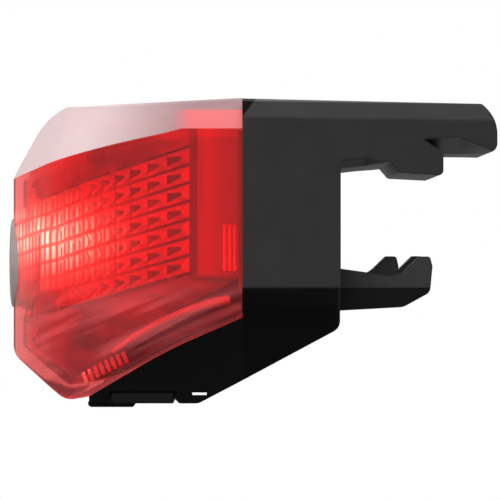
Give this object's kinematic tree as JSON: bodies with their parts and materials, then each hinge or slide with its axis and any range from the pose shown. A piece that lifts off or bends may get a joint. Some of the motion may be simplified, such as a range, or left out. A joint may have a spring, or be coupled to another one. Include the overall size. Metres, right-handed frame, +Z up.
{
  "type": "clip-on helmet light",
  "caption": "Small rear light with a red wrap-around lens, a push button on the nose, a battery hatch below and a toothed clip behind.",
  "frame": {"origin": "middle of the flat clip face at the back of the housing, between the upper arm and the lower jaw", "axes": "+X back out of the clip mouth, -X towards the nose of the lens, +Z up to the flat top, +Y across"},
  "size_m": [0.0496, 0.044, 0.0314],
  "materials": {
    "housing_black": "satin black moulding",
    "hatch_black": "satin black moulding",
    "holder_black": "matt black moulding",
    "switch_black": "matt black moulding",
    "chip_black": "matt moulding",
    "capacitor_tan": "ceramic",
    "button_grey": "matt grey",
    "stem_white": "natural moulding",
    "seal_rubber": "soft black",
    "lens_red": "clear polished red",
    "optic_red": "clear red with prisms",
    "tray_red": "red moulding",
    "reflector_white": "white sheet",
    "led_clear": "clear red resin",
    "board_green": "green solder mask",
    "contact_brass": "plated spring strip",
    "steel": "bright steel"
  },
  "bodies": {
    "housing": {"rear_housing": "housing_black", "lens": "lens_red", "lens_seal": "seal_rubber", "optic_insert": "optic_red", "light_tray": "tray_red", "tray_screws": "steel", "reflector_plate": "reflector_white", "led_board": "board_green", "led_left": "led_clear", "led_right": "led_clear", "tactile_switch": "switch_black", "button_boot": "seal_rubber", "controller_chip": "chip_black", "resistors": "chip_black", "capacitor": "capacitor_tan", "coin_cell": "steel", "positive_contact": "contact_brass", "negative_contact": "contact_brass", "cell_holder": "holder_black", "hatch_pin": "steel"},
    "button": {"push_button": "button_grey", "button_stem": "stem_white"},
    "plunger": {"switch_plunger": "button_grey"},
    "hatch": {"battery_hatch": "hatch_black", "hatch_seal": "seal_rubber"}
  },
  "joints": [
    {"name": "button_press", "type": "slide", "parent": "housing", "child": "button", "axis": [1, 0, 0], "range_m": [0, 0.0005], "stiffness_N_per_m": 400},
    {"name": "plunger_press", "type": "slide", "parent": "housing", "child": "plunger", "axis": [1, 0, 0], "range_m": [0, 0.0005]},
    {"name": "hatch_open", "type": "hinge", "parent": "housing", "child": "hatch", "pos_m": [-0.0156, 0, -0.0173], "axis": [0, -1, 0], "range_deg": [0, 90]}
  ],
  "couplings": [
    {"joint": "plunger_press", "follows": "button_press", "ratio": 1}
  ]
}
